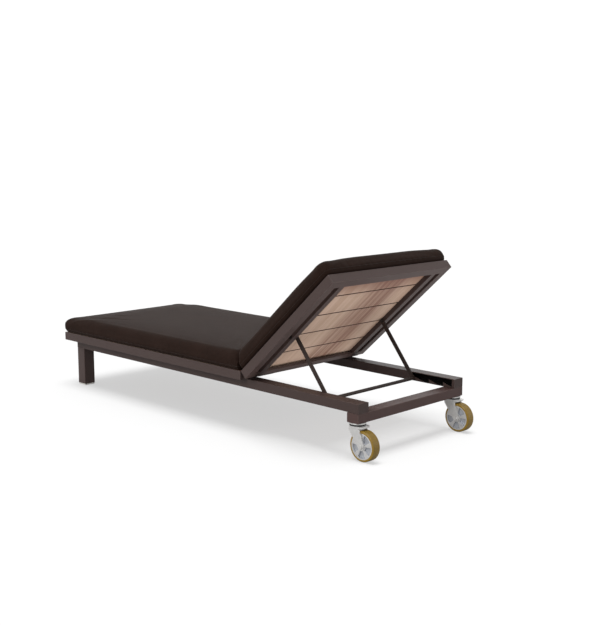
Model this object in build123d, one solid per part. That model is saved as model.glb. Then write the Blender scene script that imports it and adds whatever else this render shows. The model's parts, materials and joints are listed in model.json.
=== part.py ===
from build123d import *
import math
import os

# Reclining sun lounger on two front legs and two swivel casters.
# Millimetres, +X to the head end, +Y to the sitter's right, +Z up, floor at Z = 0.

# Frames that carry the slats
frame_width = 760.0
seat_length = 1360.0
back_length = 686.0
back_angle = 42.0
frame_depth = 40.0
frame_rail_width = 42.0
frame_wall = 2.0
hinge_rail_width = 30.0
hinge_rail_height = 12.0
frame_round = 1.5
slat_thickness = 20.0
slat_lip = 4.0
slat_fit = 1.0
slat_gap = 4.0
slat_round = 2.0
seat_slat_count = 10
back_slat_count = 5
bar_gap = 29.0
bar_width = 30.0
bar_wall = 2.0

# Hinges between the seat and the backrest
leaf_gap = 1.6
hinge_drop = 3.0
hinge_from_side = 150.0
hinge_length = 90.0
hinge_knuckles = 5
hinge_leaf = 2.2
hinge_barrel_radius = 4.5
hinge_pin_radius = 2.5

# Base
base_inset = 40.0
frame_overhang = 50.0
frame_rest_gap = 0.5
base_rail_width = 60.0
base_rail_height = 40.0
base_wall = 2.5
base_round = 2.5
leg_size = 60.0
glide_height = 7.0
glide_margin = 2.0
glide_plug = 18.0

# Prop that holds the backrest up, and the notches for its bar
prop_pivot_along = 285.0
prop_bar_from_end = 222.0
prop_bar_rise = 11.5
prop_bar_radius = 7.5
prop_pin_radius = 4.5
arm_width = 18.0
arm_thickness = 6.0
arm_gap = 0.5
bolt_radius = 4.0
bolt_head_radius = 7.0
bolt_head_height = 4.0
nut_radius = 7.5
nut_height = 6.0
tooth_count = 3
tooth_pitch = 77.0
tooth_height = 16.0
tooth_ramp = 52.0
notch_room = 8.0
window_end_wall = 13.0

# Casters
caster_trail = 39.0
wheel_radius = 62.5
wheel_width = 40.0
tyre_thickness = 9.5
tyre_round = 5.0
hub_recess = 9.0
hub_rim = 4.5
hub_boss_radius = 15.0
hub_boss_stand = 2.0
hub_boss_web = 3.0
hub_pockets = 5
hub_spoke_angle = 25.0
hub_first_pocket = 53.0
hub_pocket_round = 3.0
hub_side_gap = 0.5
axle_radius = 6.0
axle_nut_radius = 10.0
axle_nut_height = 6.0
fork_plate = 4.0
fork_tip_radius = 14.5
fork_front = 24.0
fork_rear = 27.0
fork_cheek_drop = 10.0
fork_crown_radius = 32.0
fork_crown_height = 6.5
fork_crown_room = 9.5
fork_tail = 46.0
flange_radius = 35.0
flange_height = 4.6
seal_radius = 33.0
seal_height = 5.8
kingpin_radius = 8.0
kingpin_nut_radius = 13.0
kingpin_nut_height = 7.0
stud_radius = 6.0
stud_length = 14.0

# Pads
pad_thickness = 74.0
pad_crown = 6.0
pad_crown_inset = 210.0
pad_overhang = 9.0
pad_end_overhang = 12.0
pad_corner = 34.0
pad_draw_in = 5.0
pad_fold_round = 0.45
pad_lift = 0.3
pad_crease = 1.2

# Screws
screw_radius = 2.0
screw_head_radius = 4.0
screw_head_height = 2.2
screw_length = 26.0
screw_inset = 44.0

# Clearances
running_fit = 0.05
small_gap = 0.3
screw_fit = 0.1

# Places worked out from the sizes above
hinge_gap = 2 * hinge_leaf + leaf_gap
flat_length = seat_length + hinge_gap + back_length
base_length = flat_length - 2 * frame_overhang
swivel_from_end = base_rail_width / 2
wheel_reach = flat_length - frame_overhang - swivel_from_end + caster_trail + wheel_radius
foot_x = -(wheel_reach - pad_end_overhang) / 2
seat_end_x = foot_x + seat_length
hinge_x = seat_end_x + hinge_gap / 2
back_start_x = seat_end_x + hinge_gap
back_end_x = back_start_x + back_length
base_start_x = foot_x + frame_overhang
base_end_x = base_start_x + base_length
swivel_x = base_end_x - swivel_from_end
axle_x = swivel_x + caster_trail

axle_z = wheel_radius
crown_bottom_z = 2 * wheel_radius + fork_crown_room
crown_top_z = crown_bottom_z + fork_crown_height
flange_bottom_z = crown_top_z + seal_height + 2 * small_gap
caster_height = flange_bottom_z + flange_height
base_bottom_z = caster_height + base_rail_height
base_top_z = base_bottom_z + base_rail_height
frame_bottom_z = base_top_z + frame_rest_gap
frame_top_z = frame_bottom_z + frame_depth
tube_top_z = frame_top_z - slat_thickness
hinge_z = frame_top_z - hinge_drop

frame_half = frame_width / 2
base_outer = frame_half - base_inset
base_inner = base_outer - base_rail_width
rail_inner = frame_half - frame_rail_width
bar_outer = rail_inner - bar_gap
bar_inner = bar_outer - bar_width
bar_middle = (bar_outer + bar_inner) / 2
hinge_offset = frame_half - hinge_from_side
arm_outer = min(bar_inner, base_inner) - arm_gap
arm_inner = arm_outer - arm_thickness
swivel_y = base_outer - base_rail_width / 2
hinge_axis = Axis((hinge_x, 0, hinge_z), (0, -1, 0))

nodes = {}


def block(x0, x1, y0, y1, z0, z1):
    return Pos((x0 + x1) / 2, (y0 + y1) / 2, (z0 + z1) / 2) * Box(x1 - x0, y1 - y0, z1 - z0)


def rod_y(x, z, y0, y1, radius):
    turned = Rot(90, 0, 0) * Cylinder(radius, y1 - y0)
    return Pos(x, (y0 + y1) / 2, z) * turned


def nut_y(x, z, y0, y1, radius):
    """A hexagon nut along Y; radius is to its corners."""
    hexagon = extrude(RegularPolygon(radius, 6), (y1 - y0) / 2, both=True)
    return Pos(x, (y0 + y1) / 2, z) * (Rot(90, 0, 0) * hexagon)


def rod_z(x, y, z0, z1, radius):
    return Pos(x, y, (z0 + z1) / 2) * Cylinder(radius, z1 - z0)


def plate_xz(points, y0, y1):
    """A flat plate whose outline is given in X and Z."""
    outline = make_face(Polyline(*[(x, 0, z) for x, z in points], close=True))
    plate = extrude(outline, amount=y1 - y0, dir=(0, 1, 0))
    return Pos(0, y0, 0) * plate


def tube(x0, x1, y0, y1, z0, z1, wall, along, rounding=0.0, open_ends=True):
    """A box tube that runs along one axis, with its long edges rounded and its ends open or closed."""
    outer = block(x0, x1, y0, y1, z0, z1)
    if rounding:
        outer = fillet(outer.edges().filter_by(along), rounding)
    shrink = [wall, wall, wall]
    if open_ends:
        shrink[(Axis.X, Axis.Y, Axis.Z).index(along)] = 0
    dx, dy, dz = shrink
    return outer - block(x0 + dx, x1 - dx, y0 + dy, y1 - dy, z0 + dz, z1 - dz)


def other_side(shape):
    return mirror(shape, about=Plane.XZ)


def raised(shape):
    """Turns a backrest piece from lying flat to the photographed notch."""
    return shape.rotate(hinge_axis, back_angle)


def raised_point(x, z):
    angle = math.radians(back_angle)
    dx = x - hinge_x
    dz = z - hinge_z
    return (
        hinge_x + dx * math.cos(angle) - dz * math.sin(angle),
        hinge_z + dx * math.sin(angle) + dz * math.cos(angle),
    )


def both_sides(name, left_piece, move=None):
    """Left is the -Y side; the right piece is its mirror image."""
    right_piece = other_side(left_piece)
    nodes[name + "_left"] = move(left_piece) if move else left_piece
    nodes[name + "_right"] = move(right_piece) if move else right_piece


# Hinge places, shared by the leaves and by the notches in the frame rails
hinge_middles = (-hinge_offset, hinge_offset)
knuckle_length = (hinge_length - (hinge_knuckles - 1) * small_gap) / hinge_knuckles
knuckle_step = knuckle_length + small_gap


def knuckle_span(middle, index):
    start = middle - hinge_length / 2 + index * knuckle_step
    return start, start + knuckle_length


def hinge_clearance():
    """Room around both hinge barrels, cut out of the two facing rails."""
    room = None
    for middle in hinge_middles:
        reach = hinge_length / 2 + small_gap
        radius = hinge_barrel_radius + small_gap
        barrel = rod_y(hinge_x, hinge_z, middle - reach, middle + reach, radius)
        room = barrel if room is None else room + barrel
    return room


def slat_frame(x0, x1, low_width):
    """Mitred, rebated rails: the left one, the low-X one of a width of its own and the high-X one."""
    low_x = x0 + low_width
    high_x = x1 - frame_rail_width

    def inset_block(inset, z0, z1):
        half = frame_half - inset
        return block(x0 + inset, x1 - inset, -half, half, z0, z1)

    outer = inset_block(0, frame_bottom_z, frame_top_z)
    outer = fillet(outer.edges(), frame_round)
    rebate = inset_block(slat_lip, tube_top_z, frame_top_z)
    opening = block(low_x, high_x, -rail_inner, rail_inner, frame_bottom_z, frame_top_z)
    core_z0 = frame_bottom_z + frame_wall
    core_z1 = tube_top_z - frame_wall
    core = inset_block(frame_wall, core_z0, core_z1)
    inner_wall = rail_inner + frame_wall
    core -= block(low_x - frame_wall, high_x + frame_wall, -inner_wall, inner_wall, core_z0, core_z1)
    ring = outer - rebate - opening - core - hinge_clearance()

    def mitred(*corners):
        face = make_face(Polyline(*[(x, y, frame_bottom_z) for x, y in corners], close=True))
        return ring & extrude(face, amount=frame_depth, dir=(0, 0, 1))

    half = frame_half
    inner = rail_inner
    side = mitred((x0, -half), (x1, -half), (high_x, -inner), (low_x, -inner))
    low = mitred((x0, -half), (low_x, -inner), (low_x, inner), (x0, half))
    high = mitred((x1, -half), (high_x, -inner), (high_x, inner), (x1, half))
    return side, low, high


def slat_places(x0, x1, count):
    """Start and end of each slat between the two lips."""
    start = x0 + slat_lip + slat_fit
    room = x1 - x0 - 2 * (slat_lip + slat_fit)
    width = (room - (count - 1) * slat_gap) / count
    step = width + slat_gap
    return [(start + i * step, start + i * step + width) for i in range(count)]


def screw_places(spans, within):
    """Two screws to each bar in every slat; within is the span of the whole set of slats."""
    clear_low = within[0][0] + frame_rail_width + screw_head_radius
    clear_high = within[-1][1] - frame_rail_width - screw_head_radius
    places = []
    for low, high in spans:
        for x in (max(low + screw_inset, clear_low), min(high - screw_inset, clear_high)):
            places += [(x, -bar_middle), (x, bar_middle)]
    return places


def screw(x, y, grow=0.0):
    """Countersunk screw, flush with the slat; grow gives its hole."""
    head_z = frame_top_z - screw_head_height
    shank = rod_z(x, y, frame_top_z - screw_length, head_z, screw_radius + grow)
    head = Cone(screw_radius + grow, screw_head_radius + grow, screw_head_height)
    return shank + Pos(x, y, head_z + screw_head_height / 2) * head


def slat(low, high, holes):
    reach = frame_half - slat_lip - slat_fit
    board = block(low, high, -reach, reach, tube_top_z, frame_top_z)
    board = fillet(board.edges().filter_by(Axis.Y), slat_round)
    for x, y in holes:
        board -= screw(x, y, screw_fit)
    return board


def bar(x0, x1, foot_z, spans, cross_holes=()):
    """Tube under the slats, on the left, with holes for the slat screws."""
    tube_bar = tube(x0, x1, -bar_outer, -bar_inner, foot_z, tube_top_z, bar_wall, Axis.X)
    for x, y in screw_places(spans, spans):
        if y < 0:
            tube_bar -= rod_z(x, y, frame_top_z - screw_length, tube_top_z, screw_radius + screw_fit)
    for x, z, radius in cross_holes:
        tube_bar -= rod_y(x, z, -bar_outer, -bar_inner, radius)
    return tube_bar


def add_slats(name, spans, move=None):
    for number, (low, high) in enumerate(spans, 1):
        board = slat(low, high, screw_places([(low, high)], spans))
        nodes[f"{name}_slat_{number}"] = move(board) if move else board
    screws = [screw(x, y) for x, y in screw_places(spans, spans)]
    group = [move(one) if move else one for one in screws]
    nodes[f"{name}_slat_screws"] = Compound(children=group)


# Prop geometry at rest, in X and Z
pivot_flat = (back_start_x + prop_pivot_along, (frame_bottom_z + tube_top_z) / 2)
pivot = raised_point(*pivot_flat)
notch = (base_end_x - prop_bar_from_end, base_bottom_z + prop_bar_rise)
arm_length = math.dist(pivot, notch)


def window_with_teeth(y0, y1):
    """Opening in a base rail's inner wall, with the notch teeth left standing."""
    floor_z = base_bottom_z + base_wall
    start = notch[0] - prop_bar_radius - notch_room
    end = base_end_x - window_end_wall
    opening = block(start, end, y0, y1, floor_z, base_top_z - base_wall)
    first = notch[0] + prop_bar_radius + small_gap
    for i in range(tooth_count):
        face = first + i * tooth_pitch
        tooth = [(face, floor_z), (face, floor_z + tooth_height), (face + tooth_ramp, floor_z)]
        opening -= plate_xz(tooth, y0, y1)
    return opening


# Base: side rails, legs with glides, cross rails
base_tube = {"wall": base_wall, "rounding": base_round}
side_span = (base_start_x, base_end_x, -base_outer, -base_inner, base_bottom_z, base_top_z)
side_rail = tube(*side_span, **base_tube, along=Axis.X, open_ends=False)
side_rail -= window_with_teeth(-base_inner - base_wall, -base_inner)
both_sides("base_rail", side_rail)

leg_x1 = base_start_x + leg_size
leg_y1 = -base_outer + leg_size
leg_span = (base_start_x, leg_x1, -base_outer, leg_y1, glide_height, base_bottom_z)
leg = tube(*leg_span, **base_tube, along=Axis.Z)
both_sides("front_leg", leg)


def under_leg(inset, z0, z1):
    return block(base_start_x + inset, leg_x1 - inset, -base_outer + inset, leg_y1 - inset, z0, z1)


glide = under_leg(glide_margin, 0, glide_height)
glide += under_leg(base_wall + small_gap, glide_height, glide_height + glide_plug)
both_sides("foot_glide", glide)

front_x1 = base_start_x + base_rail_width
front_span = (base_start_x, front_x1, -base_inner, base_inner, base_bottom_z, base_top_z)
nodes["front_cross_rail"] = tube(*front_span, **base_tube, along=Axis.Y)
rear_x0 = base_end_x - base_rail_width
rear_span = (rear_x0, base_end_x, -base_outer, base_outer, caster_height, base_bottom_z)
rear_rail = tube(*rear_span, **base_tube, along=Axis.Y, open_ends=False)
for side in (-1, 1):
    stud_top = caster_height + base_wall
    rear_rail -= rod_z(swivel_x, side * swivel_y, caster_height, stud_top, stud_radius + small_gap)
nodes["rear_cross_rail"] = rear_rail

# Seat frame, bars and slats
seat_side, seat_foot, seat_rear = slat_frame(foot_x, seat_end_x, frame_rail_width)
both_sides("seat_rail", seat_side)
nodes["seat_foot_rail"] = seat_foot
nodes["seat_rear_rail"] = seat_rear
seat_spans = slat_places(foot_x, seat_end_x, seat_slat_count)
seat_bar = bar(foot_x + frame_rail_width, seat_end_x - frame_rail_width, base_top_z, seat_spans)
both_sides("seat_bar", seat_bar)
add_slats("seat", seat_spans)

# Backrest frame, bars and slats, drawn flat and turned up to the notch; its hinge rail is a low channel
back_side, back_bottom, back_top = slat_frame(back_start_x, back_end_x, hinge_rail_width)
channel_x0 = back_start_x + slat_lip
channel_x1 = back_start_x + hinge_rail_width
channel_z = frame_bottom_z + hinge_rail_height
back_bottom -= block(channel_x0, channel_x1, -rail_inner, rail_inner, channel_z, tube_top_z)
both_sides("back_rail", back_side, raised)
nodes["back_bottom_rail"] = raised(back_bottom)
nodes["back_top_rail"] = raised(back_top)
back_spans = slat_places(back_start_x, back_end_x, back_slat_count)
back_bar = bar(
    channel_x1,
    back_end_x - frame_rail_width,
    frame_bottom_z,
    back_spans,
    [(pivot_flat[0], pivot_flat[1], bolt_radius + running_fit)],
)
both_sides("back_bar", back_bar, raised)
add_slats("back", back_spans, raised)


# Hinges: two leaves in the gap, five knuckles on one pin
def hinge_leaf_plate(x0, x1, middle, own):
    """A leaf and its own knuckles; own says which knuckles by their remainder."""
    plate_top = hinge_z - hinge_barrel_radius - small_gap
    half = hinge_length / 2
    leaf = block(x0, x1, middle - half, middle + half, frame_bottom_z + small_gap, plate_top)
    for index in range(hinge_knuckles):
        if index % 2 != own:
            continue
        y0, y1 = knuckle_span(middle, index)
        leaf += block(x0, x1, y0, y1, plate_top, hinge_z)
        leaf += rod_y(hinge_x, hinge_z, y0, y1, hinge_barrel_radius)
    return leaf - rod_y(hinge_x, hinge_z, middle - half, middle + half, hinge_pin_radius + running_fit)


seat_leaf = hinge_leaf_plate(seat_end_x, seat_end_x + hinge_leaf, -hinge_offset, 0)
both_sides("hinge_seat_leaf", seat_leaf)
back_leaf = hinge_leaf_plate(back_start_x - hinge_leaf, back_start_x, -hinge_offset, 1)
both_sides("hinge_back_leaf", back_leaf, raised)
pins = []
for y in hinge_middles:
    pins.append(rod_y(hinge_x, hinge_z, y - hinge_length / 2, y + hinge_length / 2, hinge_pin_radius))
nodes["hinge_pins"] = Compound(children=pins)

# Prop: two arms on bolts through the backrest bars, joined by the notch bar
lean = math.atan2(notch[1] - pivot[1], notch[0] - pivot[0])
across = (-math.sin(lean) * arm_width / 2, math.cos(lean) * arm_width / 2)
arm = plate_xz(
    [
        (pivot[0] + across[0], pivot[1] + across[1]),
        (notch[0] + across[0], notch[1] + across[1]),
        (notch[0] - across[0], notch[1] - across[1]),
        (pivot[0] - across[0], pivot[1] - across[1]),
    ],
    -arm_outer,
    -arm_inner,
)
for x, z in (pivot, notch):
    arm += rod_y(x, z, -arm_outer, -arm_inner, arm_width / 2)
arm -= rod_y(*pivot, -arm_outer, -arm_inner, bolt_radius + running_fit)
arm -= rod_y(*notch, -arm_outer, -arm_inner, prop_pin_radius)
both_sides("prop_arm", arm)

prop_bar = rod_y(*notch, -arm_inner, arm_inner, prop_bar_radius)
pin_reach = base_inner - small_gap
prop_bar += rod_y(*notch, -pin_reach, pin_reach, prop_pin_radius)
nodes["prop_bar"] = prop_bar

head_y1 = -arm_inner + small_gap + bolt_head_height
head = rod_y(*pivot, head_y1 - bolt_head_height, head_y1, bolt_head_radius)
head = fillet(head.edges().sort_by(Axis.Y)[-1], bolt_head_height / 2)
bolt = head + rod_y(*pivot, -bar_outer, head_y1 - bolt_head_height, bolt_radius)
bolt += nut_y(*pivot, -bar_outer - nut_height, -bar_outer, nut_radius)
nodes["prop_bolts"] = Compound(children=[bolt, other_side(bolt)])

# Casters, drawn at the left corner and mirrored
half_wheel = wheel_width / 2
boss_half = half_wheel + hub_boss_stand
leg_inner = boss_half + hub_side_gap
leg_outer = leg_inner + fork_plate
caster_y = -swivel_y

flange = rod_z(swivel_x, caster_y, flange_bottom_z, caster_height, flange_radius)
flange = fillet(flange.edges().filter_by(GeomType.CIRCLE), flange_height / 4)
pin_nut_top_z = crown_bottom_z - small_gap
flange += rod_z(swivel_x, caster_y, pin_nut_top_z, flange_bottom_z, kingpin_radius)
pin_nut_bottom_z = pin_nut_top_z - kingpin_nut_height
flange += rod_z(swivel_x, caster_y, pin_nut_bottom_z, pin_nut_top_z, kingpin_nut_radius)
flange += rod_z(swivel_x, caster_y, caster_height, caster_height + stud_length, stud_radius)
both_sides("caster_flange", flange)

seal_top_z = crown_top_z + seal_height
seal = rod_z(swivel_x, caster_y, crown_top_z, seal_top_z, seal_radius)
seal -= rod_z(swivel_x, caster_y, crown_top_z, seal_top_z, kingpin_radius + small_gap)
both_sides("caster_seal", seal)

fork_y0 = caster_y - leg_outer
fork_y1 = caster_y + leg_outer
fork = rod_z(swivel_x, caster_y, crown_bottom_z, crown_top_z, fork_crown_radius)
tail = block(swivel_x, swivel_x + fork_tail, fork_y0, fork_y1, crown_bottom_z, crown_top_z)
fork += fillet(tail.edges().filter_by(Axis.Z).group_by(Axis.X)[-1], leg_outer / 2)
slope = fork_tip_radius * math.sqrt(0.5)
leg_outline = [
    (swivel_x - fork_front, crown_bottom_z),
    (swivel_x + fork_rear, crown_bottom_z),
    (axle_x + fork_tip_radius, axle_z + slope),
    (axle_x + fork_tip_radius, axle_z),
    (axle_x - slope, axle_z - slope),
    (swivel_x - fork_front, crown_bottom_z - fork_cheek_drop),
]
for y0, y1 in ((fork_y0, fork_y0 + fork_plate), (fork_y1 - fork_plate, fork_y1)):
    fork += plate_xz(leg_outline, y0, y1)
    fork += rod_y(axle_x, axle_z, y0, y1, fork_tip_radius)
fork -= rod_z(swivel_x, caster_y, crown_bottom_z, crown_top_z, kingpin_radius + running_fit)
fork -= rod_y(axle_x, axle_z, fork_y0, fork_y1, axle_radius + running_fit)
both_sides("caster_fork", fork)

axle = rod_y(axle_x, axle_z, fork_y0, fork_y1, axle_radius)
for y0 in (fork_y0 - axle_nut_height, fork_y1):
    axle += nut_y(axle_x, axle_z, y0, y0 + axle_nut_height, axle_nut_radius)
both_sides("caster_axle", axle)

wheel_y0 = caster_y - half_wheel
wheel_y1 = caster_y + half_wheel
hub_radius = wheel_radius - tyre_thickness
hub = rod_y(axle_x, axle_z, wheel_y0, wheel_y1, hub_radius)
pocket_outer = hub_radius - hub_rim
pocket_inner = hub_boss_radius + hub_boss_web
pocket_step = 360 / hub_pockets


def hub_pocket(middle_angle, y0, y1):
    """A wedge between two spokes of the cast hub, with rounded corners."""
    half = (pocket_step - hub_spoke_angle) / 2

    def at(radius, turn):
        angle = math.radians(middle_angle + turn)
        return (axle_x + radius * math.cos(angle), y0, axle_z + radius * math.sin(angle))

    outline = [
        ThreePointArc(at(pocket_outer, -half), at(pocket_outer, 0), at(pocket_outer, half)),
        Line(at(pocket_outer, half), at(pocket_inner, half)),
        ThreePointArc(at(pocket_inner, half), at(pocket_inner, 0), at(pocket_inner, -half)),
        Line(at(pocket_inner, -half), at(pocket_outer, -half)),
    ]
    wedge = extrude(make_face(Wire(outline)), amount=y1 - y0, dir=(0, 1, 0))
    return fillet(wedge.edges().filter_by(Axis.Y), hub_pocket_round)


for number in range(hub_pockets):
    pocket_angle = hub_first_pocket + number * pocket_step
    hub -= hub_pocket(pocket_angle, wheel_y0, wheel_y0 + hub_recess)
    hub -= hub_pocket(pocket_angle, wheel_y1 - hub_recess, wheel_y1)
boss_y0 = caster_y - boss_half
boss_y1 = caster_y + boss_half
hub += rod_y(axle_x, axle_z, boss_y0, boss_y1, hub_boss_radius)
hub -= rod_y(axle_x, axle_z, boss_y0, boss_y1, axle_radius + running_fit)
both_sides("caster_hub", hub)

tyre = rod_y(axle_x, axle_z, wheel_y0, wheel_y1, wheel_radius)
tyre = fillet(tyre.edges().filter_by(GeomType.CIRCLE), tyre_round)
tyre -= rod_y(axle_x, axle_z, wheel_y0, wheel_y1, hub_radius)
both_sides("caster_tyre", tyre)


# Pads: stacked outlines with a bull-nosed edge, drawn-in sides and a crowned top
def pad_outline(x0, x1, half, z):
    """One level of a pad; its long and short sides are drawn in between the round corners."""
    middle = (x0 + x1) / 2
    corner_cut = pad_corner * (1 - math.sqrt(0.5))
    side_x0 = x0 + pad_corner
    side_x1 = x1 - pad_corner
    side_half = half - pad_corner
    long_side = ((side_x0, -half), (middle, -half + pad_draw_in), (side_x1, -half))
    high_corner = ((side_x1, -half), (x1 - corner_cut, -half + corner_cut), (x1, -side_half))
    high_end = ((x1, -side_half), (x1 - pad_draw_in / 2, 0), (x1, side_half))
    low_end = ((x0, -side_half), (x0 + pad_draw_in / 2, 0), (x0, side_half))
    low_corner = ((side_x0, -half), (x0 + corner_cut, -half + corner_cut), (x0, -side_half))
    arcs = []
    for points in (long_side, high_corner, high_end, low_end, low_corner):
        arcs.append(ThreePointArc(*[(x, y, z) for x, y in points]))
    for points in (long_side, high_corner, low_corner):
        arcs.append(ThreePointArc(*[(x, -y, z) for x, y in points]))
    return make_face(Wire.combine(arcs)[0])


pad_bottom_z = frame_top_z + pad_lift
pad_half = frame_half + pad_overhang
nose_radius = pad_thickness / 2
edge_steps = 8


def pad(free_x, toward):
    """A pad from its free end to the fold; toward is +1 when the fold lies at higher X."""
    fold_lean = math.tan(math.radians(back_angle / 2))

    def level(rise, nose, fold_nose):
        z = pad_bottom_z + rise
        fold_x = hinge_x - toward * ((z - hinge_z) * fold_lean + pad_crease + fold_nose)
        end_x = free_x + toward * nose
        return pad_outline(min(end_x, fold_x), max(end_x, fold_x), pad_half - nose, z)

    edge = []
    for step in range(edge_steps + 1):
        angle = math.pi * step / edge_steps
        nose = nose_radius * (1 - math.sin(angle))
        edge.append(level(nose_radius * (1 - math.cos(angle)), nose, pad_fold_round * nose))
    crown = []
    for share in (0, 0.5, 1):
        inset = share * pad_crown_inset
        rise = pad_thickness + pad_crown * (1 - (1 - share) ** 2)
        crown.append(level(rise, nose_radius + inset, pad_fold_round * nose_radius + inset))
    return loft(edge) + loft(crown, ruled=True)


nodes["seat_pad"] = pad(foot_x - pad_end_overhang, 1)
nodes["back_pad"] = raised(pad(back_end_x + pad_end_overhang, -1))

os.makedirs("parts", exist_ok=True)
for name, shape in nodes.items():
    export_step(shape, f"parts/{name}.step")
print(len(nodes), "nodes; arm length", round(arm_length, 2), "lean", round(math.degrees(lean), 2))
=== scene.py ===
import json
import math

import bmesh
import bpy
import numpy as np
from mathutils import Matrix, Vector


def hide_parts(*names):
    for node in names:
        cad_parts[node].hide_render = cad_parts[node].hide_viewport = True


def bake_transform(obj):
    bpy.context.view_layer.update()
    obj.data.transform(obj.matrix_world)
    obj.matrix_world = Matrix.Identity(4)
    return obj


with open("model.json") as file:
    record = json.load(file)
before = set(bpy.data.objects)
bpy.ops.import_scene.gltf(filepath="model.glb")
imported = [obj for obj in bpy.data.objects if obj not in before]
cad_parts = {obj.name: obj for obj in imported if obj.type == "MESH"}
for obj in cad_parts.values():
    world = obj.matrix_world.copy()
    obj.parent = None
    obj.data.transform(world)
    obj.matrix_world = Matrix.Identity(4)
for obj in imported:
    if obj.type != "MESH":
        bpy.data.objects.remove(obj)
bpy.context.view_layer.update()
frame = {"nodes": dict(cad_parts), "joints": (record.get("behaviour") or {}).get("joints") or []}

nodes = frame["nodes"]


# Base frame
# Two side rails of 60 x 40 mm tube on two square legs, tied by a cross rail at each end, all of aluminium.
# The welds are ground flush and the whole frame is powder coated: dark taupe, satin, with a fine orange peel.

class Field:
    """A value, vector or colour inside one node tree, so that shader maths reads as plain expressions."""

    def __init__(self, wiring, socket):
        self.wiring = wiring
        self.socket = socket

    def math(self, operation, first, second=0.0):
        return self.wiring.node("ShaderNodeMath", {"operation": operation}, {0: first, 1: second})

    def __add__(self, other):
        return self.math("ADD", self, other)

    def __radd__(self, other):
        return self.math("ADD", other, self)

    def __sub__(self, other):
        return self.math("SUBTRACT", self, other)

    def __rsub__(self, other):
        return self.math("SUBTRACT", other, self)

    def __mul__(self, other):
        return self.math("MULTIPLY", self, other)

    def __rmul__(self, other):
        return self.math("MULTIPLY", other, self)

    def __truediv__(self, other):
        return self.math("DIVIDE", self, other)

    def __rtruediv__(self, other):
        return self.math("DIVIDE", other, self)

    def __pow__(self, other):
        return self.math("POWER", self, other)

    def __abs__(self):
        return self.math("ABSOLUTE", self)

    def least(self, other):
        return self.math("MINIMUM", self, other)

    def most(self, other):
        return self.math("MAXIMUM", self, other)

    def sine(self):
        return self.math("SINE", self)

    def fraction(self):
        return self.math("FRACT", self)

    def fade(self, full, none):
        """1 where the value is at full, 0 where it is at none, and smooth in between."""
        sockets = {0: self, 1: full, 2: none, 3: 1.0, 4: 0.0}
        if full > none:
            sockets = {0: self, 1: none, 2: full, 3: 0.0, 4: 1.0}
        return self.wiring.node("ShaderNodeMapRange", {"interpolation_type": "SMOOTHSTEP"}, sockets)


class Wiring:
    """A node tree whose nodes come from node(): a type, its settings and its sockets."""

    def __init__(self, tree):
        self.tree = tree

    def feed(self, socket, value):
        if isinstance(value, Field):
            self.tree.links.new(value.socket, socket)
        elif isinstance(value, tuple) and len(value) == 3 and socket.type == "RGBA":
            socket.default_value = (*value, 1.0)
        else:
            socket.default_value = value

    def node(self, kind, settings, sockets, out=0):
        made = self.tree.nodes.new(kind)
        for key, value in settings.items():
            if key == "stops":
                self.set_stops(made.color_ramp.elements, value)
            else:
                setattr(made, key, value)
        for key, value in sockets.items():
            self.feed(made.inputs[key], value)
        return Field(self, made.outputs[out])

    def set_stops(self, steps, stops):
        """The grey stops of a ramp, from low to high."""
        steps.remove(steps[0])
        for number, (position, grey) in enumerate(stops):
            step = steps.new(position) if number else steps[0]
            step.position = position
            step.color = (grey, grey, grey, 1.0)


ORIGIN = (0.0, 0.0, 0.0)


class Finish(Wiring):
    """One material, with a single principled shader."""

    def __init__(self, name):
        self.material = bpy.data.materials.new(name)
        self.material.use_nodes = True
        super().__init__(self.material.node_tree)
        self.shader = self.tree.nodes["Principled BSDF"]

    def place(self, origin=ORIGIN, lean=0.0):
        """The piece's own coordinates, from origin, along axes that lean by that angle about Y."""
        own = self.node("ShaderNodeTexCoord", {}, {}, "Object")
        sockets = {"Vector": own, "Location": origin, "Rotation": (0.0, -lean, 0.0)}
        return self.node("ShaderNodeMapping", {"vector_type": "TEXTURE"}, sockets)

    def axes(self, place):
        return [self.node("ShaderNodeSeparateXYZ", {}, {0: place}, axis) for axis in range(3)]

    def stretched(self, place, scale):
        return self.node("ShaderNodeVectorMath", {"operation": "MULTIPLY"}, {0: place, 1: scale})

    def joined(self, x, y, z):
        return self.node("ShaderNodeCombineXYZ", {}, {0: x, 1: y, 2: z})

    def noise(self, place, scale=1.0, detail=2.0, roughness=0.5):
        sockets = {"Vector": place, "Scale": scale, "Detail": detail, "Roughness": roughness}
        return self.node("ShaderNodeTexNoise", {}, sockets)

    def mix(self, share, first, second):
        return self.node("ShaderNodeMix", {"data_type": "RGBA"}, {0: share, 6: first, 7: second}, 2)

    def bump(self, height, strength, depth, under=None):
        sockets = {"Height": height, "Strength": strength, "Distance": depth}
        if under is not None:
            sockets["Normal"] = under
        return self.node("ShaderNodeBump", {}, sockets)

    def wear(self, **sockets):
        """Sets the shader's sockets, with _ for a space, and gives back the material."""
        for key, value in sockets.items():
            self.feed(self.shader.inputs[key.replace("_", " ")], value)
        return self.material


def linear(shade):
    """One channel of a colour, from 0 to 255 as a screen shows it, made linear."""
    return ((shade / 255 + 0.055) / 1.055) ** 2.4 if shade > 10 else shade / 255 / 12.92


def tone(red, green, blue):
    return linear(red), linear(green), linear(blue)


def own_points(name, origin, lean):
    """The piece's corners in the coordinates of Finish.place."""
    turn = Matrix.Rotation(lean, 3, "Y")
    return np.array([turn @ (v.co - Vector(origin)) for v in nodes[name].data.vertices])


def cover(names, material):
    for name in names:
        slots = nodes[name].data.materials
        slots.clear()
        slots.append(material)


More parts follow.
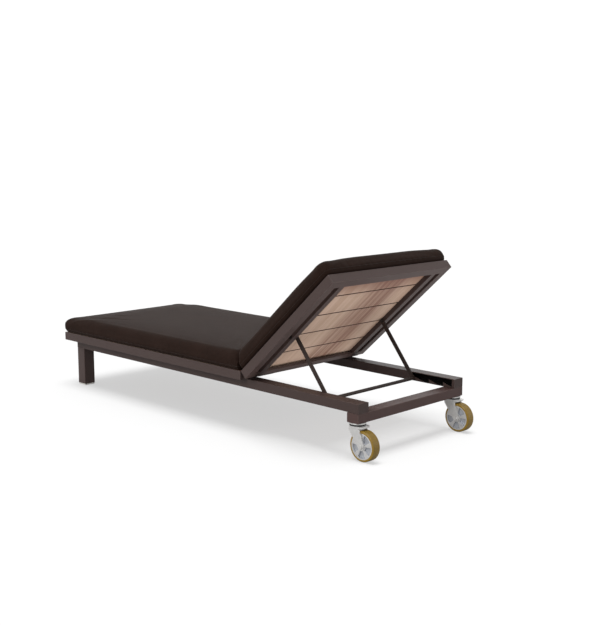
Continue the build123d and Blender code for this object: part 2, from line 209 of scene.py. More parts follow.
COAT = tone(75, 61, 58), tone(69, 55, 52)
# The base coat is the frame's coat painted darker: painted shade, as under the seat frame above.
BASE_COAT_SHADED = tone(70, 56, 53), tone(64, 50, 47)
# The rear coat is the frame's coat tinted redder: painted light, standing in for the weaker grey reflection
# on the head-end face.
REAR_COAT_PAINTED_LIGHT = tone(80, 60, 57), tone(74, 55, 52)
COAT_THIN = tone(98, 84, 79)
CLOUD_SCALE = 7.0
PEEL_SCALE = 620.0
PEEL_DEPTH = 0.0004
RUB_SCALE = 26.0
EDGE_CORE = 0.0006
EDGE_WIDTH = 0.0032
TUBE_WALL = 0.0025
TUBE_SHADE = tone(12, 8, 8)


def powder_coat(names, origin=ORIGIN, lean=0.0, edges=True, coat=COAT, shaded_tube=False):
    """The coat on one piece or a mirrored pair, in a full and a deep shade.

    The powder draws thin along edges. Within a tube, where the powder doesn't reach, the colour is painted
    near black and rougher, as shade.
    """
    finish = Finish("coat_" + names[0].replace("_left", ""))
    place = finish.place(origin, lean)
    cloud = finish.noise(place, CLOUD_SCALE, 3.0, 0.6)
    peel = finish.noise(place, PEEL_SCALE, 1.5, 0.4)
    colour = finish.mix(cloud, *coat)
    gloss = 0.40 + 0.10 * cloud
    if edges:
        points = own_points(names[0], origin, lean)
        low, high = points.min(0), points.max(0)
        x, y, z = finish.axes(place)
        if len(names) == 2:
            y = abs(y)
            low[1], high[1] = sorted((abs(low[1]), abs(high[1])))
        gaps = [abs(c - float(a)).least(abs(c - float(b))) for c, a, b in zip((x, y, z), low, high)]
        nearest = gaps[0].least(gaps[1]).least(gaps[2])
        farthest = gaps[0].most(gaps[1]).most(gaps[2])
        from_edge = gaps[0] + gaps[1] + gaps[2] - nearest - farthest
        patches = finish.noise(place, RUB_SCALE, 4.0, 0.7).fade(0.66, 0.36)
        rubbed = from_edge.fade(EDGE_CORE, EDGE_WIDTH) * patches
        colour = finish.mix(0.35 * rubbed, colour, COAT_THIN)
        gloss = gloss - 0.08 * rubbed
        if shaded_tube:
            # Painted shade: within the tube the colour is near black, standing in for the shade there.
            tube_shade_mask = nearest.fade(0.9 * TUBE_WALL, 0.4 * TUBE_WALL)
            colour = finish.mix(tube_shade_mask, colour, TUBE_SHADE)
            gloss = gloss + 0.40 * tube_shade_mask
    skin = finish.bump(peel, 0.10, PEEL_DEPTH)
    cover(names, finish.wear(Base_Color=colour, Roughness=gloss, Normal=skin, Specular_IOR_Level=0.28))


# The base rails and the front cross rail wear the darker coat, painted shade standing in for the shade under
# the seat frame.
powder_coat(["base_rail_left", "base_rail_right"], coat=BASE_COAT_SHADED, shaded_tube=True)
powder_coat(["front_leg_left", "front_leg_right"])
powder_coat(["front_cross_rail"], coat=BASE_COAT_SHADED)
# The rear cross rail wears the redder coat, painted in place of the weaker reflection on its head-end face.
powder_coat(["rear_cross_rail"], coat=REAR_COAT_PAINTED_LIGHT)


# Foot glides
# White polypropylene plugs, moulded with a fine spark texture and pressed into the ends of the legs.
# They scuff grey on the sole.

GLIDE_WHITE = tone(222, 219, 213)
GLIDE_SCUFFED = tone(158, 154, 148)
SCUFF_HEIGHT = 0.006

glide = Finish("glide_plastic")
glide_place = glide.place()
glide_height = glide.axes(glide_place)[2]
glide_scuff = glide_height.fade(0.0, SCUFF_HEIGHT) * glide.noise(glide_place, 140.0, 4.0, 0.7)
glide_spark = glide.noise(glide_place, 900.0, 2.0, 0.6)
cover(["foot_glide_left", "foot_glide_right"], glide.wear(
    Base_Color=glide.mix(0.6 * glide_scuff, GLIDE_WHITE, GLIDE_SCUFFED),
    Roughness=0.50 + 0.25 * glide_scuff,
    Normal=glide.bump(glide_spark, 0.15, 0.0003),
))


# Seat frame
# Four mitred lengths of rebated tube make the frame, and two bars run under the slats and carry them.
# It is welded and coated like the base, and it lies on the base rails.

powder_coat(["seat_rail_left", "seat_rail_right"])
powder_coat(["seat_foot_rail"])
powder_coat(["seat_rear_rail"])
powder_coat(["seat_bar_left", "seat_bar_right"])


# Seat slats
# Ten wide boards of pale oiled hardwood, cut one after another from the same planks, so that the figure runs
# on from slat to slat along the deck, with one reddish streak. They drop into the frame's rebate and are
# screwed down to the bars.

WOOD_PALE = tone(202, 174, 154)
WOOD_WARM = tone(186, 155, 133)
WOOD_STREAK_AND_SHADE = tone(112, 66, 50)
WOOD_PORE = tone(126, 92, 75)
WOOD_END_GRAIN_AND_SHADE = tone(58, 37, 28)
SLAT_GAP = 0.004
GRAIN_WANDER = 0.022
STREAK_MIDDLE = 0.070
STREAK_HALF = 0.15
LAST_BOARD_SHADE = 0.95
LAST_BOARD_SHADE_REACH = 0.06
SLAT_END_SHADE_FULL = 0.010
SLAT_END_SHADE_NONE = 0.018
PORE_DEPTH = 0.0006


def oiled_wood(names, origin=ORIGIN, lean=0.0):
    """Names run along the deck. The last board is painted darker, as shade from the rail at that end.

    The boards' edges at the joints are cut across the grain, so they drink oil and darken, and the darkening
    that spreads onto the faces beside each gap is painted shade. The boards' ends are painted darker as well,
    as shade where the pad's edge meets the rail.
    """
    finish = Finish("wood_" + names[0].split("_")[0])
    place = finish.place(origin, lean)
    first = own_points(names[0], origin, lean)[:, 0].tolist()
    last = own_points(names[-1], origin, lean)[:, 0].tolist()
    joint = max(first) + SLAT_GAP / 2
    pitch = max(first) - min(first) + SLAT_GAP
    slat_end = max(v.co.y for v in nodes[names[0]].data.vertices)

    x, y, z = finish.axes(place)
    wander = finish.noise(finish.stretched(place, (2.2, 5.0, 3.0)), 1.0, 2.0, 0.5)
    grain_y = y + GRAIN_WANDER * (wander - 0.5)
    grain = finish.joined(x, grain_y, z)
    figure = finish.noise(finish.stretched(grain, (0.9, 24.0, 9.0)), 1.0, 4.0, 0.6)
    lines = finish.noise(finish.stretched(grain, (3.0, 150.0, 60.0)), 1.0, 3.0, 0.6)
    pores = finish.noise(finish.stretched(grain, (22.0, 900.0, 400.0)), 1.0, 2.0, 0.5)
    ribs = finish.noise(finish.stretched(grain, (2.0, 75.0, 30.0)), 1.0, 3.0, 0.6)

    band = abs(grain_y - STREAK_MIDDLE).fade(0.35 * STREAK_HALF, STREAK_HALF)
    streak = band * (0.40 + 0.60 * ribs.fade(0.64, 0.38))
    # Painted shade: the last board is darkened towards the streak colour, standing in for shade from the rail
    # at that end.
    last_board_shade = LAST_BOARD_SHADE * x.fade(max(last), min(last) - LAST_BOARD_SHADE_REACH)
    from_joint = pitch * abs(((x - joint) / pitch + 0.5).fraction() - 0.5)
    # Beside each joint: the cut end grain drinks oil and darkens, and the darkening on the faces beside the
    # gap is painted shade.
    joint_grain_and_shade = from_joint.fade(0.7 * SLAT_GAP, 1.15 * SLAT_GAP)
    # Painted shade along the boards' ends, where the pad's edge meets the rail.
    slat_end_shade = 0.60 * abs(y).fade(slat_end - SLAT_END_SHADE_FULL, slat_end - SLAT_END_SHADE_NONE)

    colour = finish.mix(figure.fade(0.68, 0.34), WOOD_PALE, WOOD_WARM)
    colour = finish.mix(0.16 * lines.fade(0.70, 0.45), colour, WOOD_STREAK_AND_SHADE)
    colour = finish.mix(0.80 * streak, colour, WOOD_STREAK_AND_SHADE)
    colour = finish.mix(last_board_shade, colour, WOOD_STREAK_AND_SHADE)
    colour = finish.mix(0.30 * pores.fade(0.72, 0.56), colour, WOOD_PORE)
    colour = finish.mix(joint_grain_and_shade.most(slat_end_shade), colour, WOOD_END_GRAIN_AND_SHADE)
    roughness = 0.52 + 0.16 * lines
    relief = finish.bump(0.6 * pores + 0.4 * lines, 0.22, PORE_DEPTH)
    cover(names, finish.wear(Base_Color=colour, Roughness=roughness, Normal=relief))


oiled_wood([f"seat_slat_{number}" for number in range(1, 11)])


# Slat screws and hinge pins
# Small steel parts, turned and then bright zinc plated. The screws are countersunk flush with the slats, and
# the pins carry the hinge leaves.

ZINC_BRIGHT = tone(234, 233, 231)
ZINC_DULL = tone(208, 207, 205)


def bright_zinc(name, names, shine=0.26, metal=1.0):
    """Zinc plate with a faint bloom, over fine lines left by drawing or turning."""
    finish = Finish(name)
    place = finish.place()
    bloom = finish.noise(place, 60.0, 3.0, 0.6)
    drawn = finish.noise(finish.stretched(place, (260.0, 260.0, 1500.0)), 1.0, 2.0, 0.5)
    colour = finish.mix(bloom, ZINC_BRIGHT, ZINC_DULL)
    roughness = shine + 0.16 * bloom + 0.06 * drawn
    skin = finish.bump(drawn, 0.08, 0.0002)
    cover(names, finish.wear(Base_Color=colour, Metallic=metal, Roughness=roughness, Normal=skin))


bright_zinc("zinc_small_parts", ["seat_slat_screws", "back_slat_screws", "hinge_pins"])


# Hinge leaves
# Aluminium leaves with a rolled eye, welded to the seat frame and to the backrest frame and coated with them.
# The pins pass through the eyes.

powder_coat(["hinge_seat_leaf_left", "hinge_seat_leaf_right"], edges=False)
powder_coat(["hinge_back_leaf_left", "hinge_back_leaf_right"], edges=False)


# Backrest
# The same frame, bars and slats at a smaller size, with a low open channel on the hinge side, hinged to the
# seat frame and raised. Its finishes follow the leaning deck, so coat and grain stay with it.

joints = {joint["name"]: joint for joint in frame["joints"]}
HINGE = Vector(joints["back_recline"]["pos_m"])
LEAN = -math.radians(joints["back_recline"]["range_deg"][0])

powder_coat(["back_rail_left", "back_rail_right"], HINGE, LEAN)
powder_coat(["back_top_rail"], HINGE, LEAN)
powder_coat(["back_bottom_rail"], HINGE, LEAN)
powder_coat(["back_bar_left", "back_bar_right"], HINGE, LEAN)
oiled_wood([f"back_slat_{number}" for number in range(1, 6)], HINGE, LEAN)


# Prop
# Two flat steel arms welded to a round bar that drops into the notches of the base rails, coated a darker
# brown. Blackened bolts with locking nuts hold the arms to the backrest and let them swing.

PROP_COAT = tone(56, 44, 39), tone(50, 39, 35)
BOLT_BLACK = tone(52, 49, 48)
BOLT_WORN = tone(84, 80, 78)

powder_coat(["prop_arm_left", "prop_arm_right", "prop_bar"], edges=False, coat=PROP_COAT)

bolt = Finish("blackened_bolts")
bolt_place = bolt.place()
bolt_bloom = bolt.noise(bolt_place, 180.0, 3.0, 0.6)
cover(["prop_bolts"], bolt.wear(
    Base_Color=bolt.mix(bolt_bloom, BOLT_BLACK, BOLT_WORN),
    Metallic=1.0,
    Roughness=0.36 + 0.18 * bolt_bloom,
    Normal=bolt.bump(bolt.noise(bolt_place, 700.0), 0.1, 0.0002),
))


# Casters
# Pressed steel flange and fork, bright zinc plated, swivel on a ball race behind a black rubber seal.
# The wheel is a cast aluminium hub with five pockets in each face, and a tread of amber polyurethane cast
# on it.

SIDES = ("left", "right")
SEAL_BLACK = tone(10, 10, 10)
SEAL_DUSTY = tone(26, 25, 25)
HUB_FACE = tone(242, 241, 240)
HUB_POCKET = tone(186, 189, 195)
HUB_SAND = tone(150, 149, 148)
POCKET_FLOOR = 0.0115
POCKET_RIM = 0.0185
AMBER = tone(150, 118, 26)
AMBER_DEEP = tone(132, 103, 20)
TREAD_GRIME = tone(84, 67, 22)
TREAD_RADIUS = 0.0625
TREAD_EDGE = 0.004

bright_zinc("zinc_casters", [
    f"caster_{part}_{side}" for part in ("flange", "fork", "axle") for side in SIDES
], 0.22, 0.60)

seal = Finish("black_rubber")
seal_place = seal.place()
seal_dust = seal.noise(seal_place, 90.0, 4.0, 0.65)
cover([f"caster_seal_{side}" for side in SIDES], seal.wear(
    Base_Color=seal.mix(seal_dust, SEAL_BLACK, SEAL_DUSTY),
    Roughness=0.55 + 0.25 * seal_dust,
    Normal=seal.bump(seal.noise(seal_place, 1100.0), 0.12, 0.0002),
))

for side in SIDES:
    centre = joints["wheel_spin_" + side]["pos_m"]

    hub = Finish("cast_hub_" + side)
    hub_place = hub.place(centre)
    hub_x, hub_y, hub_z = hub.axes(hub_place)
    hub_reach = (hub_x * hub_x + hub_z * hub_z) ** 0.5
    pocket = abs(hub_y).fade(POCKET_FLOOR, POCKET_RIM)
    sand = hub.noise(hub_place, 420.0, 3.0, 0.6)
    turned = hub.noise(hub.joined(hub_reach * 1500.0, 0.0, 0.0), 1.0, 1.0, 0.5)
    hub_colour = hub.mix(pocket, HUB_FACE, HUB_POCKET)
    hub_height = sand * (0.3 + 0.7 * pocket) + 0.5 * turned * (1.0 - pocket)
    cover(["caster_hub_" + side], hub.wear(
        Base_Color=hub.mix(0.25 * sand, hub_colour, HUB_SAND),
        Metallic=0.85 - 0.35 * pocket,
        Roughness=0.32 + 0.20 * pocket + 0.08 * sand,
        Normal=hub.bump(hub_height, 0.20, 0.0005),
    ))

    tread = Finish("amber_tread_" + side)
    tread_place = tread.place(centre)
    tread_x, tread_y, tread_z = tread.axes(tread_place)
    tread_reach = (tread_x * tread_x + tread_z * tread_z) ** 0.5
    rolled = tread_reach.fade(TREAD_RADIUS - 0.0005, TREAD_RADIUS - TREAD_EDGE)
    grime = rolled * tread.noise(tread_place, 130.0, 4.0, 0.7)
    parting = abs(tread_y).fade(0.0002, 0.0008) * rolled
    bloom = tread.noise(tread_place, 40.0, 3.0, 0.6)
    amber = tread.mix(bloom, AMBER, AMBER_DEEP)
    cover(["caster_tyre_" + side], tread.wear(
        Base_Color=tread.mix(0.55 * grime, amber, TREAD_GRIME),
        Roughness=0.34 + 0.30 * grime + 0.06 * bloom,
        Normal=tread.bump(parting + 0.12 * grime, 0.35, 0.0005),
        Coat_Weight=0.12,
    ))


# Pads
# Foam slabs in dark brown solution-dyed acrylic canvas, one on the seat and one on the backrest, meeting at
# the fold. The cover is a top panel that rolls over a bull nose and is sewn to the bottom panel low on the
# side.

PAD_SMALLER = 0.0015
PAD_VOXEL = 0.0105
PAD_CAP = 0.0009
PAD_FRAMES = 20
SOLE_DEPTH = 0.004
SWAY_ROUNDS = 24
CLOTH = {
    "vertex_group_mass": "sole",
    "quality": 5,
    "mass": 0.3,
    "tension_stiffness": 22.0,
    "compression_stiffness": 22.0,
    "shear_stiffness": 9.0,
    "bending_stiffness": 1.5,
    "use_pressure": True,
    "uniform_pressure_force": 1.2,
}
NOSE = 0.037
WELT_ROUND = 0.022
FALL_REACH = 0.24
SEAT_FULLNESS = {"rise": 0.010, "end_fall": 0.0125, "corner_fall": 0.0}
BACK_FULLNESS = {"rise": 0.0075, "end_fall": 0.0, "corner_fall": 0.0095}
FOLD_GAP = 0.0006

raise_back = Matrix.Translation(HINGE) @ Matrix.Rotation(-LEAN, 4, "Y") @ Matrix.Translation(-HINGE)
fold_across = Vector((math.cos(LEAN / 2), 0.0, math.sin(LEAN / 2)))


def plain_object(name, mesh):
    made = bpy.data.objects.new(name, mesh)
    bpy.context.scene.collection.objects.link(made)
    return made


def settled(piece, name):
    """The piece as its modifiers leave it, as a new mesh. The piece itself is removed."""
    graph = bpy.context.evaluated_depsgraph_get()
    mesh = bpy.data.meshes.new_from_object(piece.evaluated_get(graph))
    mesh.name = name
    bpy.data.objects.remove(piece)
    return mesh


def vertex_values(mesh, field):
    """One row for each vertex: its place for "co", its direction for "normal"."""
    values = np.empty(len(mesh.vertices) * 3)
    mesh.vertices.foreach_get(field, values)
    return values.reshape(-1, 3)


def set_points(mesh, points):
    mesh.vertices.foreach_set("co", points.astype(np.float32).ravel())
    mesh.update()


def pad_blank(node, to_flat):
    """The pad's slab laid flat, meshed evenly and drawn in a little, ready to be filled."""
    shell = bmesh.new()
    shell.from_mesh(nodes[node].data)
    bmesh.ops.remove_doubles(shell, verts=shell.verts, dist=1e-5)
    bmesh.ops.recalc_face_normals(shell, faces=shell.faces)
    bmesh.ops.transform(shell, matrix=to_flat, verts=shell.verts)
    mesh = bpy.data.meshes.new(node + "_blank")
    shell.to_mesh(mesh)
    shell.free()
    slab = plain_object(node + "_slab", mesh)
    blank = plain_object(node + "_blank", mesh.copy())
    remesh = blank.modifiers.new("even", "REMESH")
    remesh.mode = "VOXEL"
    remesh.voxel_size = PAD_VOXEL
    relax = blank.modifiers.new("relax", "SMOOTH")
    relax.factor = 0.5
    relax.iterations = 4
    onto = blank.modifiers.new("onto", "SHRINKWRAP")
    onto.wrap_method = "NEAREST_SURFACEPOINT"
    onto.target = slab
    mesh = settled(blank, node + "_blank")
    bpy.data.objects.remove(slab)
    points = vertex_values(mesh, "co")
    drawn_in = points - PAD_SMALLER * vertex_values(mesh, "normal")
    drawn_in[:, 2] = np.maximum(drawn_in[:, 2], points[:, 2].min())
    set_points(mesh, drawn_in)
    return mesh


def nearness(distance):
    """1 at an edge, and 0 from the reach of the fall inward."""
    return 0.5 + 0.5 * np.cos(math.pi * np.clip(distance / FALL_REACH, 0.0, 1.0))


def plumped(points, fold_side, rise, end_fall, corner_fall):
    """The filling stands highest along the sides, and falls off towards the free end or its corners."""
    low, high = points.min(0), points.max(0)
    near_end = nearness(points[:, 0] - low[0] if fold_side < 0 else high[0] - points[:, 0])
    near_side = nearness(np.minimum(points[:, 1] - low[1], high[1] - points[:, 1]))
    gain = rise - end_fall * near_end - corner_fall * near_end * near_side
    full = points.copy()
    full[:, 2] += gain * (points[:, 2] - low[2]) / (high[2] - low[2])
    return full


def squared_sole(points, fold_side):
    """The lower half of the bull nose, let out to a nearly square edge on the sides away from the fold."""
    low, high = points.min(0), points.max(0)
    core_low, core_high = low[:2] + NOSE, high[:2] - NOSE
    if fold_side < 0:
        core_high[0] = high[0]
    else:
        core_low[0] = low[0]
    flat = np.clip(points[:, :2], core_low, core_high)
    past = points[:, :2] - flat
    reach = np.linalg.norm(past, axis=1)
    rise = points[:, 2] - low[2]
    lower = (reach > 1e-4) & (rise < NOSE)
    straight = NOSE - WELT_ROUND
    arc = WELT_ROUND * math.pi / 2
    run = np.arctan2(reach, NOSE - rise) / (math.pi / 2) * (2 * straight + arc)
    turn = np.clip(run - straight, 0.0, arc) / WELT_ROUND
    new_reach = np.minimum(run, straight) + WELT_ROUND * np.sin(turn)
    new_rise = WELT_ROUND * (1.0 - np.cos(turn)) + np.clip(run - straight - arc, 0.0, None)
    let_out = points.copy()
    let_out[lower, :2] = flat[lower] + past[lower] * (new_reach / np.maximum(reach, 1e-9))[lower, None]
    let_out[lower, 2] = low[2] + new_rise[lower]
    return let_out


def pad_filled(node, mesh):
    """The blank swollen by its filling, with the sole held on the slats.

    The wide sway is taken out again, so the shallow creases stay and the outline doesn't move.
    """
    start = vertex_values(mesh, "co")
    piece = plain_object(node + "_cloth", mesh)
    sole = start[:, 2].min() + SOLE_DEPTH
    pinned = piece.vertex_groups.new(name="sole")
    pinned.add([int(i) for i in np.nonzero(start[:, 2] < sole)[0]], 1.0, "REPLACE")
    cloth = piece.modifiers.new("filling", "CLOTH")
    for key, value in CLOTH.items():
        setattr(cloth.settings, key, value)
    cloth.settings.effector_weights.gravity = 0.0
    cloth.point_cache.frame_start = 1
    cloth.point_cache.frame_end = PAD_FRAMES
    for step in range(1, PAD_FRAMES + 1):
        bpy.context.scene.frame_set(step)
    mesh = settled(piece, node + "_filled")
    bpy.context.scene.frame_set(1)

    moved = vertex_values(mesh, "co") - start
    ends = np.empty(len(mesh.edges) * 2, np.int32)
    mesh.edges.foreach_get("vertices", ends)
    ends = ends.reshape(-1, 2)
    degree = np.bincount(ends.ravel(), minlength=len(start))[:, None]
    sway = moved.copy()
    for _ in range(SWAY_ROUNDS):
        total = np.zeros_like(sway)
        np.add.at(total, ends[:, 0], sway[ends[:, 1]])
        np.add.at(total, ends[:, 1], sway[ends[:, 0]])
        sway = 0.5 * sway + 0.5 * total / degree
    moved -= sway
    length = np.linalg.norm(moved, axis=1, keepdims=True)
    moved *= np.tanh(length / PAD_CAP) * PAD_CAP / np.maximum(length, 1e-9)
    set_points(mesh, start + moved)
    return mesh


SEAM_HEIGHT = 0.013
SEAM_WIDTH = 0.009
SEAM_DEPTH = 0.0022
PUCKER_PITCH = 0.034
PUCKER_DEPTH = 0.0011
PUCKER_FADE = 0.016
PUCKER_DRIFT = 1.7


def seam_dent(points, normals, bottom):
    """How far the stitching pulls the cover in: a narrow groove, with puckers that fade above it."""
    height = points[:, 2] - bottom - SEAM_HEIGHT
    upright = np.clip(1.0 - np.abs(normals[:, 2]), 0.0, 1.0)
    groove = np.clip(1.0 - np.abs(height) / SEAM_WIDTH, 0.0, 1.0) ** 2
    along = points[:, 0] + points[:, 1]
    drift = PUCKER_DRIFT * np.sin(9.0 * points[:, 0] + 5.0 * points[:, 1])
    wave = 0.5 + 0.5 * np.sin(2.0 * np.pi * along / PUCKER_PITCH + drift)
    pucker = np.exp(-np.clip(height, 0.0, None) / PUCKER_FADE) * (height > -SEAM_WIDTH) * wave
    return (SEAM_DEPTH * groove + PUCKER_DEPTH * pucker) * upright


def fold_pressed(points, to_place, fold_side):
    """Flat points that would pass the plane of the fold once in place, pressed back to it."""
    raised = np.array(to_place)
    across = (points @ raised[:3, :3].T + raised[:3, 3] - np.array(HINGE)) @ np.array(fold_across)
    over = np.clip(FOLD_GAP - fold_side * across, 0.0, None)
    flat_across = np.array(to_place.inverted().to_3x3() @ fold_across)
    return points + fold_side * over[:, None] * flat_across


def weave_map(mesh, bottom, low, high):
    """A UV map in metres of cloth, laid over the top and carried down round the nose."""
    points = vertex_values(mesh, "co")
    middle = bottom + NOSE
    cloth = []
    for axis in (0, 1):
        flat = np.clip(points[:, axis], low[axis] + NOSE, high[axis] - NOSE)
        past = points[:, axis] - flat
        turn = np.arctan2(np.abs(past), points[:, 2] - middle)
        cloth.append(flat + np.sign(past) * NOSE * turn * (np.abs(past) > 1e-4))
    corners = np.empty(len(mesh.loops), np.int32)
    mesh.loops.foreach_get("vertex_index", corners)
    layer = mesh.uv_layers.new(name="weave")
    layer.data.foreach_set("uv", np.column_stack(cloth)[corners].astype(np.float32).ravel())


def pad_cover(node, to_place, fold_side, fullness):
    """The filled and sewn cover, still lying flat, and the height of its sole."""
    mesh = pad_blank(node, to_place.inverted())
    plump = plumped(vertex_values(mesh, "co"), fold_side, **fullness)
    set_points(mesh, squared_sole(plump, fold_side))
    mesh = pad_filled(node, mesh)
    set_points(mesh, vertex_values(mesh, "co") + PAD_SMALLER * vertex_values(mesh, "normal"))
    piece = plain_object(node + "_form", mesh)
    finer = piece.modifiers.new("finer", "SUBSURF")
    finer.levels = 1
    finer.render_levels = 1
    mesh = settled(piece, node + "_canvas")
    points = vertex_values(mesh, "co")
    normals = vertex_values(mesh, "normal")
    bottom = points[:, 2].min()
    points -= normals * seam_dent(points, normals, bottom)[:, None]
    points = fold_pressed(points, to_place, fold_side)
    set_points(mesh, points)
    weave_map(mesh, bottom, points.min(0), points.max(0))
    mesh.polygons.foreach_set("use_smooth", np.ones(len(mesh.polygons), bool))
    return mesh, bottom


CANVAS_DARK = tone(32, 20, 15)
CANVAS_LIGHT = tone(40, 26, 20)
CANVAS_BRUSHED = tone(46, 31, 25)
CANVAS_SHEEN = tone(205, 190, 182)
WEAVE_PITCH = 0.0015
SLUB_ALONG = 40.0
SLUB_ACROSS = 520.0


def canvas(name):
    """Plain weave, slubs along both sets of threads, and a dry bloom where the cloth is brushed."""
    finish = Finish(name)
    cloth = finish.node("ShaderNodeUVMap", {"uv_map": "weave"}, {})
    warp, weft, _ = finish.axes(cloth)
    turns = 2.0 * math.pi / WEAVE_PITCH
    threads = 0.5 + 0.25 * (warp * turns).sine() + 0.25 * (weft * turns).sine()
    warp_slub = finish.noise(finish.joined(warp * SLUB_ALONG, weft * SLUB_ACROSS, 0.0), 1.0, 2.0, 0.5)
    weft_slub = finish.noise(finish.joined(warp * SLUB_ACROSS, weft * SLUB_ALONG, 3.0), 1.0, 2.0, 0.5)
    slub = 0.5 * warp_slub + 0.5 * weft_slub
    bloom = finish.noise(finish.joined(warp, weft, 0.0), 5.0, 4.0, 0.6)
    colour = finish.mix(slub.fade(0.60, 0.40), CANVAS_DARK, CANVAS_LIGHT)
    colour = finish.mix(0.35 * bloom.fade(0.66, 0.38), colour, CANVAS_BRUSHED)
    coarse = finish.bump(slub, 0.25, 0.0010)
    fine = finish.bump(threads, 0.30, 0.0004, coarse)
    return finish.wear(
        Base_Color=colour,
        Roughness=0.60 + 0.16 * slub,
        Normal=fine,
        Specular_IOR_Level=0.065,
        Sheen_Weight=0.03,
        Sheen_Roughness=0.40,
        Sheen_Tint=CANVAS_SHEEN,
    )


THREAD_DARK = tone(36, 28, 26)
THREAD_LIGHT = tone(60, 49, 44)
STITCH_RISE = 0.005
STITCH_PROUD = 0.0001
STITCH_SIZES = {"Pitch": 0.0062, "Stitch length": 0.0044, "Thread radius": 0.0006}


def stitch_row_tree():
    """Lockstitches along an edge loop: one short rounded thread at every pitch."""
    tree = bpy.data.node_groups.new("stitch_row", "GeometryNodeTree")
    given = {"Seam": "Geometry", **dict.fromkeys(STITCH_SIZES, "Float"), "Thread": "Material"}
    for label, kind in given.items():
        tree.interface.new_socket(label, in_out="INPUT", socket_type="NodeSocket" + kind)
    tree.interface.new_socket("Stitches", in_out="OUTPUT", socket_type="NodeSocketGeometry")
    row = Wiring(tree)
    seam, pitch, length, radius, material = (row.node("NodeGroupInput", {}, {}, label) for label in given)
    line = row.node("GeometryNodeMeshToCurve", {}, {"Mesh": seam})
    sockets = {"Curve": line, "Length": pitch}
    spots = row.node("GeometryNodeCurveToPoints", {"mode": "LENGTH"}, sockets, "Points")
    along = Field(row, spots.socket.node.outputs["Rotation"])
    bead = row.node("GeometryNodeMeshUVSphere", {}, {"Segments": 6, "Rings": 5, "Radius": 1.0})
    size = row.node("ShaderNodeCombineXYZ", {}, {"X": radius, "Y": radius, "Z": length * 0.5})
    sockets = {"Points": spots, "Instance": bead, "Rotation": along, "Scale": size}
    laid = row.node("GeometryNodeInstanceOnPoints", {}, sockets)
    real = row.node("GeometryNodeRealizeInstances", {}, {"Geometry": laid})
    sewn = row.node("GeometryNodeSetMaterial", {}, {"Geometry": real, "Material": material})
    result = tree.nodes.new("NodeGroupOutput")
    row.feed(result.inputs["Stitches"], sewn)
    return tree


def seam_loop(mesh, height, outward):
    """The line where a level cut meets the cover's side, set outward by a little."""
    cut = bmesh.new()
    cut.from_mesh(mesh)
    cut.normal_update()
    found = bmesh.ops.bisect_plane(
        cut, geom=cut.verts[:] + cut.edges[:] + cut.faces[:], plane_co=(0, 0, height), plane_no=(0, 0, 1),
    )["geom_cut"]
    edges = {e for e in found if isinstance(e, bmesh.types.BMEdge)}
    start = min((e.verts[0] for e in edges), key=lambda vertex: tuple(vertex.co))
    here, before = start, None
    path = []
    while True:
        path.append(here.co + outward * Vector((here.normal.x, here.normal.y, 0.0)).normalized())
        beside = [e.other_vert(here) for e in here.link_edges if e in edges]
        onward = [vertex for vertex in beside if vertex is not before]
        if not onward:
            break
        before, here = here, onward[0]
        if here is start:
            break
    cut.free()
    count = len(path)
    line = bpy.data.meshes.new("seam_line")
    line.from_pydata(path, [(i, (i + 1) % count) for i in range(count)], [])
    return line


stitch_tree = stitch_row_tree()
thread = Finish("pad_thread")
thread_place = thread.place()
thread_twist = thread.noise(thread_place, 1400.0, 1.0, 0.5)
thread_material = thread.wear(
    Base_Color=thread.mix(thread_twist, THREAD_DARK, THREAD_LIGHT),
    Roughness=0.55 + 0.2 * thread_twist,
    Normal=thread.bump(thread_twist, 0.2, 0.0002),
)


def stitch_row(node, mesh, bottom):
    """The row of stitches above the seam of a flat cover."""
    row = plain_object(node + "_row", seam_loop(mesh, bottom + SEAM_HEIGHT + STITCH_RISE, STITCH_PROUD))
    sewing = row.modifiers.new("stitches", "NODES")
    sewing.node_group = stitch_tree
    given = {**STITCH_SIZES, "Thread": thread_material}
    for item in stitch_tree.interface.items_tree:
        if item.in_out == "INPUT" and item.name in given:
            sewing[item.identifier] = given[item.name]
    return settled(row, node + "_stitches")


pad_canvas = canvas("pad_canvas")
for node, to_place, fold_side, fullness in (
    ("seat_pad", Matrix.Identity(4), -1.0, SEAT_FULLNESS),
    ("back_pad", raise_back, 1.0, BACK_FULLNESS),
):
    mesh, bottom = pad_cover(node, to_place, fold_side, fullness)
    stitch_mesh = stitch_row(node, mesh, bottom)
    mesh.transform(to_place)
    stitch_mesh.transform(to_place)
    mesh.materials.clear()
    mesh.materials.append(pad_canvas)
    pad = plain_object(node + "_cushion", mesh)
    stitches = plain_object(node + "_stitches", stitch_mesh)
    for piece in (pad, stitches):
        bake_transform(piece)
    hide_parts(node)


# Studio
# A white sweep under a soft overhead light, a soft key light from the near side and a low fill that reaches
# under the backrest. The sky is brighter behind the lounger. The camera stands behind the head end, a little
# above it.

FLOOR = 300.0
FLOOR_CORNERS = [(-FLOOR, -FLOOR, 0.0), (FLOOR, -FLOOR, 0.0), (FLOOR, FLOOR, 0.0), (-FLOOR, FLOOR, 0.0)]
WHITE = (1.0, 1.0, 1.0)


def floor_sheet(name, drop, grey, glow):
    """A wide sheet of paper that glows a little."""
    mesh = bpy.data.meshes.new(name)
    mesh.from_pydata([(x, y, z - drop) for x, y, z in FLOOR_CORNERS], [], [(0, 1, 2, 3)])
    paper = Finish(name)
    fibre = paper.noise(paper.place(), 3.0, 3.0, 0.6)
    mesh.materials.append(paper.wear(
        Base_Color=paper.mix(fibre, (grey, grey, grey), (1.02 * grey, 1.02 * grey, 1.02 * grey)),
        Roughness=1.0,
        Specular_IOR_Level=0.0,
        Emission_Color=WHITE,
        Emission_Strength=glow,
    ))
    sheet = plain_object(name, mesh)
    return sheet


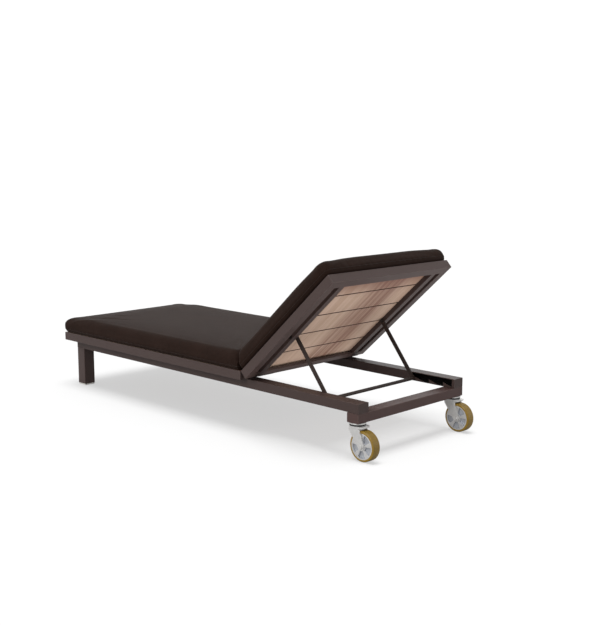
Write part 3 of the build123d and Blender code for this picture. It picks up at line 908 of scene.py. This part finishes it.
floor = floor_sheet("floor", drop=0.0, grey=0.25, glow=0.545)
floor.visible_diffuse = False
floor.visible_glossy = False
floor.visible_shadow = False
bounce = floor_sheet("floor_bounce", drop=0.0005, grey=0.22, glow=0.10)
bounce.visible_camera = False
bounce.visible_shadow = False

SKY_TOP = 2.0
SKY_LEVELS = (
    (-0.02, 0.0), (-0.01, 1.14), (0.10, 1.16), (0.25, 1.08), (0.40, 0.77),
    (0.50, 0.545), (0.60, 0.50), (0.80, 0.65), (0.90, 0.89), (1.0, SKY_TOP),
)
SKY_TILT = (-0.20, 0.40, 0.0)
SKY_SEEN = 1.1

world = bpy.data.worlds.new("studio")
world.use_nodes = True
sky = Wiring(world.node_tree)
sky_place = sky.node("ShaderNodeTexCoord", {}, {}, "Generated")
sky_height = sky.node("ShaderNodeSeparateXYZ", {}, {0: sky_place}, "Z")
sky_sides = {0: sky_place, 1: SKY_TILT}
sky_lean = sky.node("ShaderNodeVectorMath", {"operation": "DOT_PRODUCT"}, sky_sides, "Value")
sky_stops = [(0.5 + 0.5 * height, level / SKY_TOP) for height, level in SKY_LEVELS]
sky_level = sky.node("ShaderNodeValToRGB", {"stops": sky_stops}, {"Fac": 0.5 + 0.5 * sky_height})
sky_glow = sky_level * (SKY_TOP + SKY_TOP * sky_lean)
sky_seen = sky.node("ShaderNodeLightPath", {}, {}, "Is Camera Ray")
sky_strength = sky.node("ShaderNodeMix", {}, {"Factor": sky_seen, "A": sky_glow, "B": SKY_SEEN})
background = world.node_tree.nodes["Background"]
sky.feed(background.inputs["Color"], WHITE)
sky.feed(background.inputs["Strength"], sky_strength)
bpy.context.scene.world = world


def soft_light(name, turn, spread, energy, receivers):
    """A distant soft light, turned from straight down, that falls on the receivers alone."""
    light = bpy.data.lights.new(name, "SUN")
    light.angle = math.radians(spread)
    light.energy = energy
    lamp = plain_object(name, light)
    lamp.rotation_euler = [math.radians(angle) for angle in turn]
    lit = bpy.data.collections.new("lit_by_" + name)
    for piece in receivers:
        lit.objects.link(piece)
    lamp.light_linking.receiver_collection = lit


sheets = [floor, bounce]
built = [piece for piece in bpy.context.scene.objects if piece.type == "MESH" and piece not in sheets]
back_deck = [nodes[name] for name in nodes if name.startswith("back_") and name != "back_pad"]
soft_light("overhead", turn=(3.0, 0.0, 0.0), spread=33.0, energy=3.5, receivers=sheets)
soft_light("key", turn=(53.0, 0.0, 0.0), spread=40.0, energy=1.65, receivers=built)
soft_light("low_fill", turn=(0.0, 140.0, 0.0), spread=60.0, energy=1.7, receivers=back_deck)

lens = bpy.data.cameras.new("camera")
lens.sensor_fit = "AUTO"
lens.sensor_width = 36.0
lens.lens = 59.747
lens.clip_end = 3.0 * FLOOR
camera = plain_object("camera", lens)
camera.location = (3.57675, -3.2825, 1.2217)
camera.rotation_euler = (math.radians(80.924), 0.0, math.radians(44.811))
bpy.context.scene.camera = camera
bpy.context.scene.view_settings.view_transform = "Standard"
